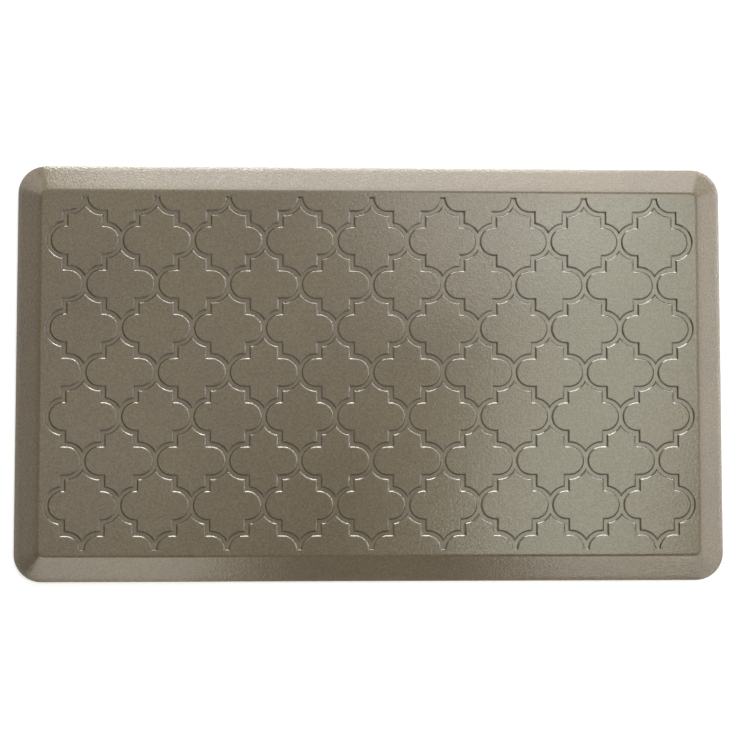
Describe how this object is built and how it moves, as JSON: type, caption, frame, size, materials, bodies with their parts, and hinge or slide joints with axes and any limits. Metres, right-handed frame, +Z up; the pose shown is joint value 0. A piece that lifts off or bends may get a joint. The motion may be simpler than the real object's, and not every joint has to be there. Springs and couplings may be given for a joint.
{
  "type": "anti fatigue mat",
  "caption": "Rectangular cushioned standing mat with rounded corners, sloping sides and a recessed trellis pattern on top.",
  "frame": {"origin": "middle of the underside, on the floor plane", "axes": "+X along the length, +Y across the width, +Z up from the floor"},
  "size_m": [0.762, 0.447, 0.019],
  "materials": {
    "skin_polyurethane": "taupe, leather-grained, semi-gloss",
    "comfort_foam": "soft open-cell polyurethane foam, cream",
    "support_foam": "firm closed-cell foam, charcoal",
    "scrim_polyester": "open woven polyester mesh, off-white",
    "base_rubber": "matt, moulded grip pattern"
  },
  "bodies": {
    "root": {"top_skin": "skin_polyurethane", "comfort_foam": "comfort_foam", "support_foam": "support_foam", "reinforcing_scrim": "scrim_polyester", "base_sheet": "base_rubber"}
  },
  "joints": []
}
